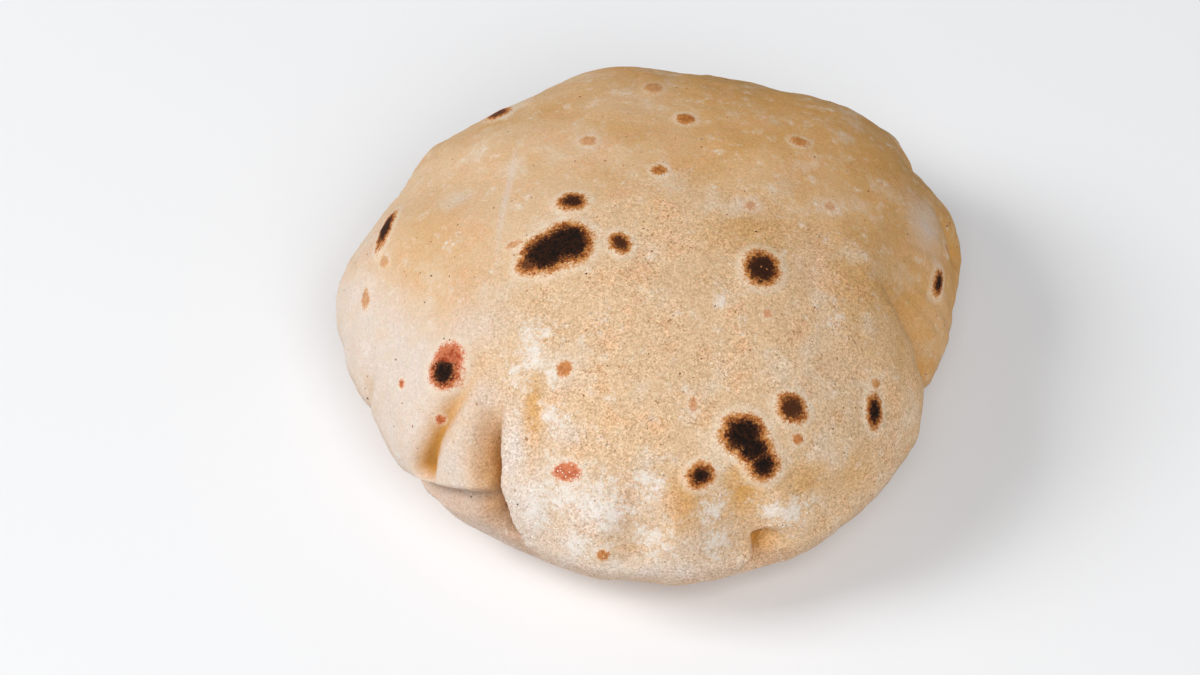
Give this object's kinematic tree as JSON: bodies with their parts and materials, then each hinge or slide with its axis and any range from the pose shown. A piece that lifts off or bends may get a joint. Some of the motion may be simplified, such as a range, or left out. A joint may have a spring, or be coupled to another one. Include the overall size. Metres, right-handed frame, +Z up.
{
  "type": "puffed roti",
  "caption": "Round wholemeal flatbread puffed into a hollow-looking cushion, with pleated rim and flat base, to lie on a plate, board or griddle.",
  "frame": {"origin": "middle of the bread's bounding box in plan, on the surface it rests on", "axes": "+Z up, -Y towards the side with the broad smooth front lobe, +X towards the side with the deep overlapping pleat"},
  "size_m": [0.1676, 0.1642, 0.068],
  "materials": {
    "crust": "dry matt floured crust, tan with dark brown griddle spots"
  },
  "bodies": {
    "root": {"puffed_roti": "crust"}
  },
  "joints": []
}
